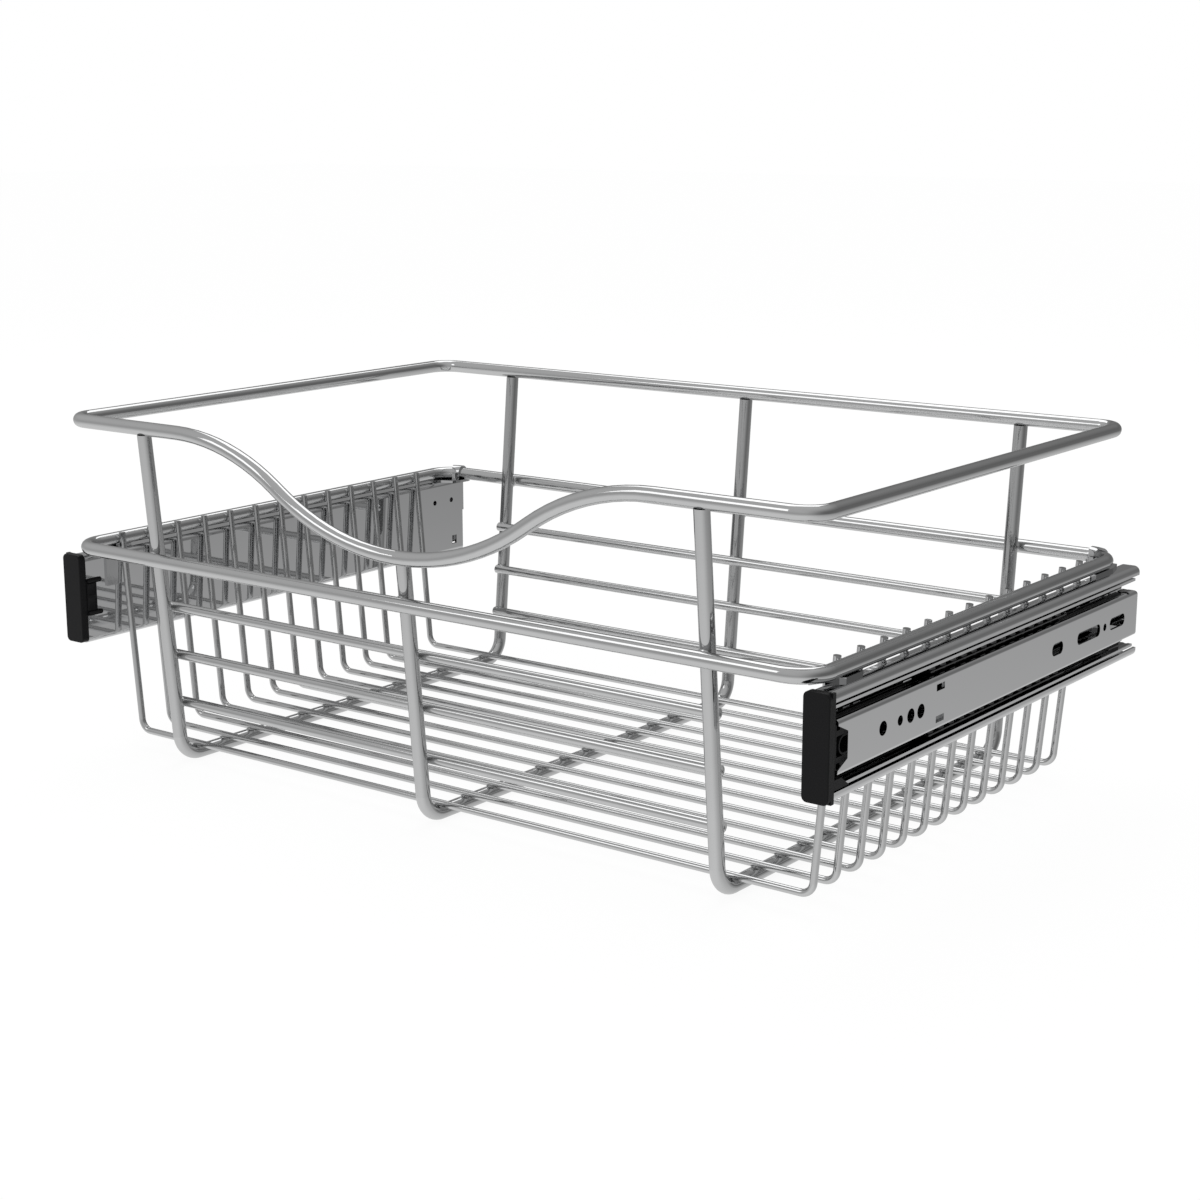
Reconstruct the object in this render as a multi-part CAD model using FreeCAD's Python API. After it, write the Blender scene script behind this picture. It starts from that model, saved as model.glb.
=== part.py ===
import FreeCAD, Part
import math
import os

# Pull-out wire basket on a pair of full-extension ball slides, shown closed.
# X runs across (right is +X), -Y is the front that the user pulls, +Z is up.
# The origin is the middle of the bounding box, at the height of the lowest wire.

# Whole basket and slides, in millimetres
overall_width = 457.2
overall_depth = 304.8
overall_height = 178.4

# Wires of the basket
thick_wire = 7.0
medium_wire = 5.0
thin_wire = 3.4

# Rims
top_rim_depth = 287.8
middle_rim_height = 109.5
top_rim_corner = 11.0
middle_rim_corner = 14.0
leg_clearance = 0.4

# Hand dip in the front of the top rim
dip_upper_radius = 118.0
dip_lower_radius = 132.0
dip_angle = 34.1
dip_straight = 2.0

# Three frame wires, which run under the basket from front to back
frame_inset = 53.8
frame_lean = 5.285
frame_bend_radius = 12.5
weld_bite = 0.3

# Long wires across the front and the back
long_wire_pitch = 25.4
long_wire_below_rim = 26.45
long_wire_stub = 0.8
long_wire_sink = 1.0
long_wire_names = ["upper", "middle", "lower"]

# Thin cross wires, which make the floor and the two sides
cross_wire_count = 13
cross_wire_first = 26.7
cross_wire_last = 33.26
cross_wire_lean = 5.03
cross_wire_bend_radius = 6.1
cross_wire_tip = 0.2
floor_sink = 0.4
side_sink = 0.7

# Slides: heights are measured from the middle of the slide, on its right-hand copy
slide_thickness = 12.7
slide_height = 46.0
slide_travel = 304.8

# Basket member, the outermost channel, open towards the cabinet
basket_member_wall = 1.4
basket_member_width = 11.4
basket_member_lip = 4.35
basket_member_front = 5.9
basket_member_bend = 3.0

# Middle member
middle_member_wall = 1.3
middle_member_gap = 1.2
middle_member_height = 35.0
middle_member_width = 8.4
middle_member_bend = 2.0
middle_member_front = 8.4
middle_member_rear = 3.9
rear_tab_height = 16.0
rear_tab_reach = 10.4

# Cabinet member, the innermost channel, open towards the basket
cabinet_member_wall = 1.4
cabinet_member_height = 23.8
cabinet_member_width = 7.1
cabinet_member_bend = 2.0
cabinet_member_front = 9.0
cabinet_member_rear = 4.2

# Ball rows and their cages
outer_ball_radius = 2.38
outer_ball_pitch = 11.5
inner_ball_radius = 2.4
inner_ball_pitch = 9.5
ball_play = 0.04
outer_ball_reach = 5.6
inner_ball_reach = 7.6
cage_wall = 0.6
cage_play = 0.07
cage_end = 3.0
cage_gap = 0.35
cage_overhang = 0.7
cage_bend = 1.2

# Holes of the cabinet member, placed from its front end
screw_hole_radius = 3.15
screw_hole_first = 35.9
screw_hole_pitch = 32.0
pin_hole_radius = 2.2
pin_hole_place = 50.2
side_hole_place = 59.2
side_hole_radius = 3.1
lance_place = 85.0
lance_length = 7.2
lance_height = 3.0
lance_rise = 7.0
slot_height = 6.0
short_slot_place = 200.4
short_slot_length = 11.6
long_slot_place = 235.0
long_slot_length = 25.8
rear_slot_place = 267.9
rear_slot_length = 17.6
slot_corner = 2.7
small_hole_place = 253.4
small_hole_radius = 1.85
front_notch_depth = 7.6
front_notch_outer = 18.6
front_notch_inner = 11.5
rear_cut_length = 15.9
rear_corner_radius = 2.6
rear_lower_radius = 1.2
top_notch_place = 8.6
top_notch_length = 2.6

# Holes of the basket member, placed from its rear end
rivet_hole_radius = 1.5
rivet_hole_rise = 10.4
rivet_hole_places = [11.5, 26.8]
square_hole_length = 4.0
square_hole_height = 5.2
square_hole_place = 9.1
square_hole_drop = 14.7
rear_step_depth = 1.0
rear_step_rise = 2.7

# End caps of black plastic
cap_depth = 4.0
cap_top = 23.6
cap_bottom = 22.5
cap_inset = 0.1
cap_corner_radius = 2.6
cap_edge_radius = 0.6
cap_collar_depth = 1.6
cap_collar_reach = 0.7
cap_plug_depth = 1.4
cap_play = 0.1
tongue_depth = 6.4
tongue_top = 10.8
tongue_bottom = 8.5
prong_length = 2.9
prong_height = 2.2
tongue_thickening = 0.5

# Black plastic stops in the front of the cabinet members
stop_length = 13.0
stop_reach = 5.6
stop_floor = 7.6
stop_wall = 0.8
spring_radius = 3.8
spring_place = 6.9
spring_half_height = 4.4
end_pocket_rise = 6.8
end_pocket_length = 3.6

# Black plastic bumpers, clipped over the lower front corner of the middle members
bumper_front = 0.6
bumper_length = 11.2
bumper_slant = 6.5
bumper_clip_length = 3.0
bumper_clip_reach = 8.4
bumper_outside = 12.0
bumper_top = 13.1

# Brackets of bent sheet between the middle rim and the slides, placed from the front of that rim
bracket_sheet = 1.5
tab_sheet = 1.1
seat_inset = 2.0
front_seat_width = 4.0
rear_seat_width = 3.2
front_seat_start = 25.7
front_seat_end = 38.8
front_tab_start = 19.0
front_tab_end = 28.4
front_tab_height = 19.4
front_tip_start = 11.4
front_tip_inset = 5.4
front_tip_width = 2.5
front_tip_slant = 1.8
front_shoulder = 1.8
rear_bracket_start = 266.1
rear_tab_width = 7.0
rear_tab_inset = 12.1
rear_corner_inset = 2.6
hook_place = 72.0
hook_angle = 26.0
hook_play = 0.05
hook_wrap = 150.0

# Sizes worked out from the values above
slide_face = overall_width / 2
slide_inside = slide_face - slide_thickness
rim_half_width = slide_inside - leg_clearance + thick_wire / 2
frame_spacing = rim_half_width - frame_inset
top_rim_height = overall_height - thick_wire / 2
top_half_depth = top_rim_depth / 2
frame_slope = math.tan(math.radians(frame_lean))
wire_touch = thick_wire / math.cos(math.radians(frame_lean))
middle_half_depth = top_half_depth - frame_slope * (top_rim_height - middle_rim_height) + wire_touch
basket_centre = middle_half_depth + thick_wire / 2 - overall_depth / 2
cross_wire_stretch = 2 * middle_half_depth - cross_wire_first - cross_wire_last
cross_wire_pitch = cross_wire_stretch / (cross_wire_count - 1)
cross_slope = math.tan(math.radians(cross_wire_lean))
leg_touch = ((thick_wire + thin_wire) / 2 - side_sink) / math.cos(math.radians(cross_wire_lean))
leg_top = rim_half_width - leg_touch
slide_top = middle_rim_height - thick_wire / 2 - bracket_sheet
slide_centre = slide_top - slide_height / 2
slide_front = -overall_depth / 2 + basket_member_front
slide_rear = overall_depth / 2
cabinet_front = -overall_depth / 2 + cabinet_member_front
cabinet_rear = overall_depth / 2 - cabinet_member_rear
middle_front = -overall_depth / 2 + middle_member_front
middle_rear = overall_depth / 2 - middle_member_rear


def point(x, y, z):
    return FreeCAD.Vector(x, y, z)


def bent_path(points, radii):
    """A wire of straight lines through the points, with each inner corner rounded to its radius."""
    edges = []
    start = points[0]
    for index in range(1, len(points) - 1):
        corner = points[index]
        radius = radii[index - 1]
        if radius > 0:
            before = (points[index - 1] - corner).normalize()
            after = (points[index + 1] - corner).normalize()
            half = before.getAngle(after) / 2
            first = corner + before * (radius / math.tan(half))
            last = corner + after * (radius / math.tan(half))
            inward = (before + after).normalize()
            middle = corner + inward * (radius / math.sin(half) - radius)
        else:
            first = corner
            last = corner
        if first.distanceToPoint(start) > 1e-5:
            edges.append(Part.LineSegment(start, first).toShape())
        if radius > 0:
            edges.append(Part.Arc(first, middle, last).toShape())
        start = last
    if points[-1].distanceToPoint(start) > 1e-5:
        edges.append(Part.LineSegment(start, points[-1]).toShape())
    return Part.Wire(edges)


def rod(points, radii, diameter):
    """A round wire bent along the points."""
    path = bent_path(points, radii)
    heading = points[1] - points[0]
    section = Part.Wire([Part.makeCircle(diameter / 2, points[0], heading)])
    return path.makePipeShell([section], True, False)


def mirrored(shape):
    """The left-hand copy of a right-hand piece."""
    return shape.mirror(point(0, 0, 0), point(1, 0, 0))


def plate(corners, place, depth):
    """A flat outline of (a, b, radius) corners, put in space by place and pushed along depth."""
    points = [place(a, b) for a, b, radius in corners]
    middle = (points[0] + points[-1]) * 0.5
    radii = [radius for a, b, radius in corners]
    outline = bent_path([middle] + points + [middle], radii)
    return Part.Face(outline).extrude(depth).removeSplitter()


def slide_section(corners, start, end):
    """A rolled section of the right slide: corners are (distance from its inner face, rise, radius)."""
    def place(reach, rise):
        return point(slide_inside + reach, start, slide_centre + rise)
    return plate(corners, place, point(0, end - start, 0))


def side_plate(corners, reach, depth):
    """A flat piece or cutter seen from the side: corners are (Y, rise, radius)."""
    def place(y, rise):
        return point(slide_inside + reach, y, slide_centre + rise)
    return plate(corners, place, point(depth, 0, 0))


def box_corners(left, right, bottom, top, radius):
    return [(left, bottom, radius), (right, bottom, radius), (right, top, radius), (left, top, radius)]


def side_hole(y, rise, radius):
    """A cutter for a round hole through the slide."""
    start = point(slide_inside - slide_thickness, y, slide_centre + rise)
    return Part.makeCylinder(radius, 3 * slide_thickness, start, point(1, 0, 0))


def side_slot(y, rise, length, height, radius):
    """A cutter for a slot through the slide, with rounded corners."""
    corners = box_corners(y - length / 2, y + length / 2, rise - height / 2, rise + height / 2, radius)
    return side_plate(corners, -slide_thickness, 3 * slide_thickness)


def groove(reach, rise, radius):
    """A cutter for a ball track along the whole slide."""
    start = point(slide_inside + reach, -overall_depth, slide_centre + rise)
    return Part.makeCylinder(radius, 2 * overall_depth, start, point(0, 1, 0))


# Heights of the ball rows, halfway between the walls that they roll on
outer_track_outside = slide_height / 2 - basket_member_wall
outer_track_inside = middle_member_height / 2
outer_ball_rise = (outer_track_outside + outer_track_inside) / 2
inner_track_outside = middle_member_height / 2 - middle_member_wall
inner_track_inside = cabinet_member_height / 2
inner_ball_rise = (inner_track_outside + inner_track_inside) / 2
outer_track_radius = outer_ball_radius + ball_play
inner_track_radius = inner_ball_radius + ball_play


# Rims
def half_rim(height, half_depth, corner_radius, front_points, front_radii):
    """The right half of a rim, from the middle of its front to the middle of its back."""
    front = basket_centre - half_depth
    back = basket_centre + half_depth
    points = front_points + [
        point(rim_half_width, front, height),
        point(rim_half_width, back, height),
        point(0, back, height),
    ]
    radii = front_radii + [corner_radius, corner_radius]
    return rod(points, radii, thick_wire)


def whole_rim(half):
    return half.fuse(mirrored(half)).removeSplitter()


dip_turn = math.radians(dip_angle)
dip_lower_reach = dip_lower_radius * math.tan(dip_turn / 2)
dip_upper_reach = dip_upper_radius * math.tan(dip_turn / 2)
dip_slope_length = dip_lower_reach + dip_straight + dip_upper_reach
dip_depth = dip_slope_length * math.sin(dip_turn)
dip_half_width = dip_lower_reach + dip_slope_length * math.cos(dip_turn)
dip_height = top_rim_height - dip_depth


def top_rim():
    front = basket_centre - top_half_depth
    points = [
        point(0, front, dip_height),
        point(dip_lower_reach, front, dip_height),
        point(dip_half_width, front, top_rim_height),
    ]
    radii = [dip_lower_radius, dip_upper_radius]
    return whole_rim(half_rim(top_rim_height, top_half_depth, top_rim_corner, points, radii))


def middle_rim():
    front = basket_centre - middle_half_depth
    points = [point(0, front, middle_rim_height)]
    return whole_rim(half_rim(middle_rim_height, middle_half_depth, middle_rim_corner, points, []))


# Frame wires
def upright_reach(height):
    """Distance of an upright's axis from the middle of the basket at a height."""
    return top_half_depth - frame_slope * (top_rim_height - height)


def frame_wire(x, front_rim_height, rim):
    """A frame wire whose upright ends are cut flat and seated against the top rim."""
    low = thick_wire / 2
    points = [
        point(x, basket_centre - upright_reach(front_rim_height), front_rim_height),
        point(x, basket_centre - upright_reach(low), low),
        point(x, basket_centre + upright_reach(low), low),
        point(x, basket_centre + upright_reach(top_rim_height), top_rim_height),
    ]
    wire = rod(points, [frame_bend_radius, frame_bend_radius], thick_wire)
    side = 4 * thick_wire
    for corner in (points[0], points[-1]):
        cut_height = corner.z - thick_wire / 2 + weld_bite
        saw = Part.makeBox(side, side, side, point(x - side / 2, corner.y - side / 2, cut_height))
        wire = wire.cut(saw)
    return wire.cut(rim)


# Long wires across the front and the back, on the inner side of the uprights
def long_wire(height, face):
    gap = ((thick_wire + medium_wire) / 2 - long_wire_sink) / math.cos(math.radians(frame_lean))
    y = basket_centre + face * (upright_reach(height) - gap)
    end = frame_spacing + long_wire_stub
    return Part.makeCylinder(medium_wire / 2, 2 * end, point(-end, y, height), point(1, 0, 0))


# Cross wires, which lie on the frame wires and rise to the inner side of the middle rim
def floor_height(reach):
    """Height of a cross wire that lies on the frame wires at a distance from the middle."""
    low = thick_wire / 2
    turn = math.radians(90 - frame_lean)
    bend_start = upright_reach(low) - frame_bend_radius * math.tan(turn / 2)
    touch = (thick_wire + thin_wire) / 2 - floor_sink
    beyond = reach - bend_start
    if beyond <= 0:
        return low + touch
    inside = frame_bend_radius - touch
    return low + frame_bend_radius - math.sqrt(inside ** 2 - beyond ** 2)


def cross_wire(number):
    place = -middle_half_depth + cross_wire_first + number * cross_wire_pitch
    y = basket_centre + place
    low = floor_height(abs(place))
    high = middle_rim_height + thick_wire / 2 + cross_wire_tip
    low_reach = leg_top - cross_slope * (middle_rim_height - low)
    high_reach = leg_top + cross_slope * (high - middle_rim_height)
    points = [
        point(-high_reach, y, high),
        point(-low_reach, y, low),
        point(low_reach, y, low),
        point(high_reach, y, high),
    ]
    return rod(points, [cross_wire_bend_radius, cross_wire_bend_radius], thin_wire)


# Slide members, right-hand copies
def channel(back, opening, half, wall, bend):
    """The outline of a plain channel with its web at back and its edges at opening."""
    inner = back + math.copysign(wall, opening - back)
    inner_bend = max(bend - wall, 0)
    return [
        (back, -half, bend),
        (back, half, bend),
        (opening, half, 0),
        (opening, half - wall, 0),
        (inner, half - wall, inner_bend),
        (inner, wall - half, inner_bend),
        (opening, wall - half, 0),
        (opening, -half, 0),
    ]


def lipped_channel(back, opening, half, wall, bend, lip):
    """The outline of a channel whose edges turn in towards each other at the opening."""
    inner_bend = bend - wall
    return [
        (back, -half, bend),
        (back, half, bend),
        (opening, half, bend),
        (opening, half - lip, 0),
        (opening - wall, half - lip, 0),
        (opening - wall, half - wall, inner_bend),
        (back + wall, half - wall, inner_bend),
        (back + wall, wall - half, inner_bend),
        (opening - wall, wall - half, inner_bend),
        (opening - wall, lip - half, 0),
        (opening, lip - half, 0),
        (opening, -half, bend),
    ]


def basket_member():
    half = slide_height / 2
    wall = basket_member_wall
    corners = lipped_channel(0, basket_member_width, half, wall, basket_member_bend, basket_member_lip)
    member = slide_section(corners, slide_front, slide_rear)
    cutters = [
        groove(outer_ball_reach, outer_ball_rise, outer_track_radius),
        groove(outer_ball_reach, -outer_ball_rise, outer_track_radius),
    ]
    for place in rivet_hole_places:
        cutters.append(side_hole(slide_rear - place, rivet_hole_rise, rivet_hole_radius))
    square = side_slot(
        slide_rear - square_hole_place, -square_hole_drop, square_hole_length, square_hole_height, 0
    )
    cutters.append(square)
    step = box_corners(slide_rear - rear_step_depth, slide_rear + wall, -half - wall, rear_step_rise, 0)
    cutters.append(side_plate(step, -wall, 2 * wall))
    cutters.append(side_plate(tongue_corners(cap_play), -wall, 3 * wall))
    return member.cut(cutters)


def middle_member():
    back = basket_member_wall + middle_member_gap
    half = middle_member_height / 2
    wall = middle_member_wall
    corners = channel(back, back + middle_member_width, half, wall, middle_member_bend)
    member = slide_section(corners, middle_front, middle_rear)
    cutters = [
        groove(outer_ball_reach, outer_ball_rise, outer_track_radius),
        groove(outer_ball_reach, -outer_ball_rise, outer_track_radius),
        groove(inner_ball_reach, inner_ball_rise, inner_track_radius),
        groove(inner_ball_reach, -inner_ball_rise, inner_track_radius),
    ]
    tab_corners = box_corners(back, rear_tab_reach, -rear_tab_height / 2, rear_tab_height / 2, 0)
    tab = slide_section(tab_corners, middle_rear - wall, middle_rear)
    return member.cut(cutters).fuse(tab).removeSplitter()


def front_notch_corners():
    """The notch in the front of the cabinet member, which narrows towards the rear."""
    front = cabinet_front - front_notch_depth
    rear = cabinet_front + front_notch_depth
    outer = front_notch_outer / 2 + (front_notch_outer - front_notch_inner) / 2
    inner = front_notch_inner / 2
    return [(front, -outer, 0), (rear, -inner, 0), (rear, inner, 0), (front, outer, 0)]


def cabinet_member():
    half = cabinet_member_height / 2
    wall = cabinet_member_wall
    opening = slide_thickness - cabinet_member_width
    corners = channel(slide_thickness, opening, half, wall, cabinet_member_bend)
    member = slide_section(corners, cabinet_front, cabinet_rear)
    cutters = [
        groove(inner_ball_reach, inner_ball_rise, inner_track_radius),
        groove(inner_ball_reach, -inner_ball_rise, inner_track_radius),
        side_hole(cabinet_front + pin_hole_place, 0, pin_hole_radius),
        side_hole(cabinet_front + side_hole_place, 0, side_hole_radius),
        side_hole(cabinet_front + small_hole_place, 0, small_hole_radius),
    ]
    for number in range(2):
        y = cabinet_front + screw_hole_first + number * screw_hole_pitch
        cutters.append(side_hole(y, 0, screw_hole_radius))
    for side in (-1, 1):
        y = cabinet_front + lance_place
        cutters.append(side_slot(y, side * lance_rise, lance_length, lance_height, 0))
    slots = [
        (short_slot_place, short_slot_length),
        (long_slot_place, long_slot_length),
        (rear_slot_place, rear_slot_length),
    ]
    for place, length in slots:
        cutters.append(side_slot(cabinet_front + place, 0, length, slot_height, slot_corner))
    cutters.append(side_plate(front_notch_corners(), slide_thickness - 2 * wall, 3 * wall))
    flange_edge = half - cabinet_member_bend + wall / 2
    rear_cut = box_corners(cabinet_rear - rear_cut_length, cabinet_rear + wall, -2 * half, -flange_edge, 0)
    cutters.append(side_plate(rear_cut, 0, 2 * slide_thickness))
    top_notch = box_corners(
        cabinet_rear - top_notch_place - top_notch_length,
        cabinet_rear - top_notch_place,
        half - wall / 2,
        2 * half,
        0,
    )
    cutters.append(side_plate(top_notch, 0, 2 * slide_thickness))
    envelope = [
        (cabinet_front - wall, -2 * half, 0),
        (cabinet_rear - rear_cut_length / 2, -2 * half, 0),
        (cabinet_rear - rear_cut_length / 2, -flange_edge, 0),
        (cabinet_rear, -flange_edge, rear_lower_radius),
        (cabinet_rear, half, rear_corner_radius),
        (cabinet_front - wall, half, 0),
    ]
    return member.cut(cutters).common(side_plate(envelope, 0, 2 * slide_thickness))


# Ball cages: each stays between the two members that its balls roll on, over the whole travel
def cage_places(front, rear, pitch):
    """Y of the balls of one row, centred in the stretch that both members share when open."""
    middle = (front + rear) / 2
    length = rear - front - slide_travel / 2 - 2 * cage_end
    steps = int((length - pitch) / pitch)
    places = [middle + (number - steps / 2) * pitch for number in range(steps + 1)]
    return middle - length / 2, middle + length / 2, places


def cage(front, rear, pitch, back, ball_reach, ball_rise, ball_radius):
    start, end, places = cage_places(front, rear, pitch)
    half = ball_rise + cage_wall / 2
    corners = channel(back, ball_reach + ball_radius + cage_overhang, half, cage_wall, cage_bend)
    shape = slide_section(corners, start, end)
    cutters = []
    for y in places:
        foot = point(slide_inside + ball_reach, y, slide_centre - 2 * ball_rise)
        cutters.append(Part.makeCylinder(ball_radius + cage_play, 4 * ball_rise, foot, point(0, 0, 1)))
    return shape.cut(cutters)


def ball_group(front, rear, pitch, ball_reach, ball_rise, ball_radius):
    places = cage_places(front, rear, pitch)[2]
    balls = []
    for side in (-1, 1):
        for y in places:
            centre = point(slide_inside + ball_reach, y, slide_centre + side * ball_rise)
            balls.append(Part.makeSphere(ball_radius, centre))
    return Part.makeCompound(balls)


def outer_cage():
    back = basket_member_wall + cage_gap
    return cage(
        middle_front, slide_rear, outer_ball_pitch, back, outer_ball_reach, outer_ball_rise, outer_ball_radius
    )


def outer_balls():
    return ball_group(
        middle_front, slide_rear, outer_ball_pitch, outer_ball_reach, outer_ball_rise, outer_ball_radius
    )


def inner_cage():
    back = basket_member_wall + middle_member_gap + middle_member_wall + cage_gap
    return cage(
        cabinet_front, middle_rear, inner_ball_pitch, back, inner_ball_reach, inner_ball_rise, inner_ball_radius
    )


def inner_balls():
    return ball_group(
        cabinet_front, middle_rear, inner_ball_pitch, inner_ball_reach, inner_ball_rise, inner_ball_radius
    )


# End cap: a front plate, a shallow plug inside the basket member and a forked tongue in its web
def tongue_corners(play):
    """The tongue of the cap seen from the side, or the notch that it fills."""
    front = slide_front - cap_depth / 2
    flat = slide_front + tongue_depth + play
    tip = flat + prong_length
    top = tongue_top + play
    bottom = -tongue_bottom - play
    upper = top - prong_height - 2 * play
    lower = bottom + prong_height + 2 * play
    return [
        (front, bottom, 0),
        (tip, bottom, 0),
        (tip, lower, 0),
        (flat, lower, 0),
        (flat, upper, 0),
        (tip, upper, 0),
        (tip, top, 0),
        (front, top, 0),
    ]


def end_cap():
    """Rounded towards the basket; towards the cabinet a square collar closes the end of the slide."""
    front = slide_front - cap_depth
    face_corners = box_corners(cap_inset, slide_thickness, -cap_bottom, cap_top, cap_corner_radius)
    face = slide_section(face_corners, front, slide_front)
    edges = [edge for edge in face.Edges if edge.BoundBox.YMax < front + cap_depth / 2]
    face = face.makeFillet(cap_edge_radius, edges)
    collar_front = slide_front - cap_collar_depth
    collar_inside = slide_thickness - cap_corner_radius
    collar_corners = box_corners(collar_inside, slide_thickness, -cap_bottom, cap_top, 0)
    collar = slide_section(collar_corners, collar_front, slide_front)
    edge_inside = basket_member_width + cap_play
    edge_corners = box_corners(edge_inside, slide_thickness, -cap_bottom, cap_top, 0)
    edge_strip = slide_section(edge_corners, collar_front, slide_front + cap_collar_reach)
    inside = basket_member_wall + cap_play
    track = outer_track_outside - cap_play
    width_inside = basket_member_width - basket_member_wall - cap_play
    plug_bend = basket_member_bend - basket_member_wall
    plug_corners = box_corners(inside, width_inside, -track, track, plug_bend)
    plug_end = slide_front + cap_plug_depth
    plug = slide_section(plug_corners, slide_front - cap_depth / 2, plug_end)
    tongue = side_plate(tongue_corners(0), cap_inset, inside + tongue_thickening)
    return face.fuse([collar, edge_strip, plug, tongue]).removeSplitter()


# Stop: a black insert with a curved spring wall, which shows in the front notch of the cabinet member
def stop_pocket(start, end, bottom, top):
    """A cutter for a square pocket in the stop, open towards the cabinet."""
    corners = box_corners(cabinet_front + start, cabinet_front + end, bottom, top, 0)
    return side_plate(corners, stop_floor, slide_thickness)


def front_stop():
    half = cabinet_member_height / 2 - cabinet_member_wall
    web = slide_thickness - cabinet_member_wall
    bend = cabinet_member_bend - cabinet_member_wall
    corners = [(stop_reach, -half, 0), (web, -half, bend), (web, half, bend), (stop_reach, half, 0)]
    body = slide_section(corners, cabinet_front + cap_play, cabinet_front + stop_length)
    axis = point(slide_inside + stop_floor, cabinet_front + spring_place, slide_centre)
    spring_outside = Part.makeCylinder(spring_radius + stop_wall / 2, slide_thickness, axis, point(1, 0, 0))
    spring_inside = Part.makeCylinder(spring_radius - stop_wall / 2, slide_thickness, axis, point(1, 0, 0))
    wall = cap_play + stop_wall
    middle_pocket = stop_pocket(wall, spring_place, -spring_half_height, spring_half_height)
    upper_pocket = stop_pocket(wall, end_pocket_length, end_pocket_rise, half - stop_wall)
    lower_pocket = stop_pocket(wall, end_pocket_length, stop_wall - half, -end_pocket_rise)
    return body.cut([middle_pocket.cut(spring_outside), spring_inside, upper_pocket, lower_pocket])


# Bumper: a black clip over the lower front corner of the middle member
def front_bumper():
    bottom = -middle_member_height / 2
    front = middle_front - bumper_front
    end = middle_front + bumper_length
    face = basket_member_wall + middle_member_gap + middle_member_width
    corners = [
        (front, bottom, 0),
        (end, bottom, 0),
        (end - bumper_slant, -bumper_top, 0),
        (front, -bumper_top, 0),
    ]
    outer = side_plate(corners, face, bumper_outside - face)
    clip_corners = box_corners(front, middle_front + bumper_clip_length, bottom, -bumper_top, 0)
    clip = side_plate(clip_corners, bumper_clip_reach, bumper_outside - bumper_clip_reach)
    return clip.fuse(outer).cut(middle_member()).removeSplitter()


# Brackets, right-hand copies, seen from above
def rim_plate(corners):
    """A flat plate between the top of the slide and the underside of the middle rim."""
    def place(x, y):
        return point(x, y, slide_top)
    return plate(corners, place, point(0, 0, bracket_sheet))


def front_bracket():
    """A seat on the slide with a tongue under the rim's corner, and a tab down the slide's inner face."""
    rim_front = basket_centre - middle_half_depth - thick_wire / 2
    seat_start = rim_front + front_seat_start
    seat_end = rim_front + front_seat_end
    tab_start = rim_front + front_tab_start
    tab_end = rim_front + front_tab_end
    tip = rim_front + front_tip_start
    tip_x = slide_inside - front_tip_inset
    inside = slide_inside + seat_inset
    outside = inside + front_seat_width
    leg = slide_inside - tab_sheet
    corners = [
        (outside, seat_end, 0),
        (inside, seat_end, 0),
        (inside, tab_end, 0),
        (leg, tab_end, 0),
        (leg, tab_start, 0),
        (tip_x, tip + front_tip_slant, 0),
        (tip_x + front_tip_width, tip, 0),
        (inside + front_shoulder, seat_start - front_shoulder, 0),
        (outside, seat_start, 0),
    ]
    flange = rim_plate(corners)
    tab_foot = point(leg, tab_start, slide_top + bracket_sheet - front_tab_height)
    tab = Part.makeBox(tab_sheet, tab_end - tab_start, front_tab_height, tab_foot)
    return flange.fuse(tab).removeSplitter()


def hook_profile(centre_x, centre_y):
    """The section of the hook: a leg up the inner side of the rim, wrapped over the top of it."""
    inner = thick_wire / 2 + hook_play
    outer = inner + tab_sheet
    tip = math.radians(180 - hook_wrap)

    def around(radius, angle):
        x = centre_x + middle_rim_corner + radius * math.cos(angle)
        return point(x, centre_y, middle_rim_height + radius * math.sin(angle))

    inner_side = around(inner, math.pi)
    outer_side = around(outer, math.pi)
    inner_foot = point(inner_side.x, centre_y, slide_top)
    outer_foot = point(outer_side.x, centre_y, slide_top)
    edges = [
        Part.Arc(around(inner, tip), around(inner, math.pi / 2), inner_side).toShape(),
        Part.LineSegment(inner_side, inner_foot).toShape(),
        Part.LineSegment(inner_foot, outer_foot).toShape(),
        Part.LineSegment(outer_foot, outer_side).toShape(),
        Part.Arc(outer_side, around(outer, math.pi / 2), around(outer, tip)).toShape(),
        Part.LineSegment(around(outer, tip), around(inner, tip)).toShape(),
    ]
    return Part.Face(Part.Wire(edges))


def rear_bracket():
    """A plate under the rear corner of the middle rim, with a hook that wraps over the rim."""
    centre_x = rim_half_width - middle_rim_corner
    centre_y = basket_centre + middle_half_depth - middle_rim_corner
    start = basket_centre - middle_half_depth - thick_wire / 2 + rear_bracket_start
    back = basket_centre + middle_half_depth + thick_wire / 2
    inside = slide_inside + seat_inset
    middle = inside + rear_seat_width
    inboard = slide_inside - rear_tab_inset
    corners = [
        (inside, start, 0),
        (middle, start, 0),
        (middle, centre_y + thick_wire, 0),
        (middle - rear_corner_inset, back, 0),
        (inboard, back, 0),
        (inboard, back - rear_tab_width, 0),
        (centre_x + bracket_sheet, centre_y + middle_rim_corner / 3, 0),
        (inside, centre_y, 0),
    ]
    flange = rim_plate(corners)
    profile = hook_profile(centre_x, centre_y)
    pivot = point(centre_x, centre_y, 0)
    profile.rotate(pivot, point(0, 0, 1), hook_place - hook_angle / 2)
    hook = profile.revolve(pivot, point(0, 0, 1), hook_angle)
    return flange.fuse(hook).removeSplitter()


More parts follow.
